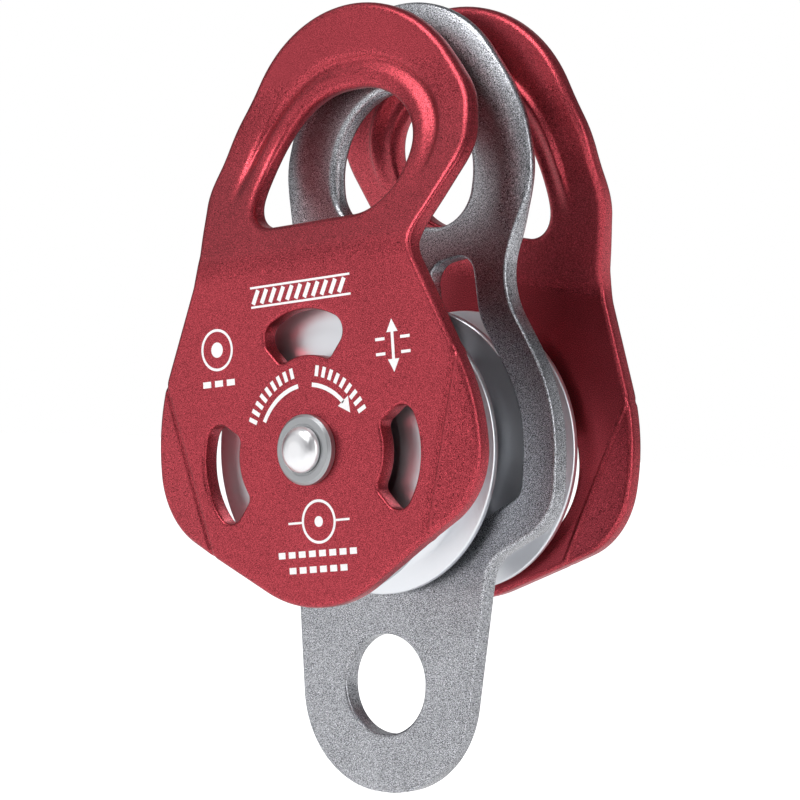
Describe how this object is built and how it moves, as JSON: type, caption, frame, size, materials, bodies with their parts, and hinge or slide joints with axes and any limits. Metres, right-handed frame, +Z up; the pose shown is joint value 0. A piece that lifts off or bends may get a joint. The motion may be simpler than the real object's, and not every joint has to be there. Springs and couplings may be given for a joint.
{
  "type": "rope pulley",
  "caption": "Double rope pulley: sheaves side by side on a riveted axle, swinging joggled side plates, a carabiner eye at the top and a becket hole at the foot.",
  "frame": {"origin": "where a carabiner bears on the roof of the centre plate's eye, midway through the plate", "axes": "+X right seen from the front, +Y back along the axle, +Z up, against the load"},
  "size_m": [0.085, 0.067, 0.1652],
  "materials": {
    "centre_plate": "bead-blasted and clear anodised, with brighter rounded edges",
    "side_plates": "aluminium, bead-blasted and red anodised, satin",
    "sheaves": "turned and polished",
    "bushes": "self-lubricating bronze",
    "axle_steel": "bright stainless steel",
    "head_washers": "turned stainless steel",
    "thrust_washers": "dark acetal"
  },
  "bodies": {
    "centre_frame": {"centre_plate": "centre_plate", "axle_rivet": "axle_steel", "front_sleeve": "axle_steel", "rear_sleeve": "axle_steel", "front_head_washer": "head_washers", "rear_head_washer": "head_washers", "front_inner_thrust_washer": "thrust_washers", "front_outer_thrust_washer": "thrust_washers", "rear_inner_thrust_washer": "thrust_washers", "rear_outer_thrust_washer": "thrust_washers"},
    "front_cheek": {"front_side_plate": "side_plates"},
    "rear_cheek": {"rear_side_plate": "side_plates"},
    "front_wheel": {"front_sheave": "sheaves", "front_sheave_bush": "bushes"},
    "rear_wheel": {"rear_sheave": "sheaves", "rear_sheave_bush": "bushes"}
  },
  "joints": [
    {"name": "front_plate_swing", "type": "hinge", "parent": "centre_frame", "child": "front_cheek", "pos_m": [0, -0.027, -0.075], "axis": [0, 1, 0], "continuous": true},
    {"name": "rear_plate_swing", "type": "hinge", "parent": "centre_frame", "child": "rear_cheek", "pos_m": [0, 0.027, -0.075], "axis": [0, 1, 0], "continuous": true},
    {"name": "front_sheave_spin", "type": "hinge", "parent": "centre_frame", "child": "front_wheel", "pos_m": [0, -0.01385, -0.075], "axis": [0, 1, 0], "continuous": true},
    {"name": "rear_sheave_spin", "type": "hinge", "parent": "centre_frame", "child": "rear_wheel", "pos_m": [0, 0.01385, -0.075], "axis": [0, 1, 0], "continuous": true}
  ]
}
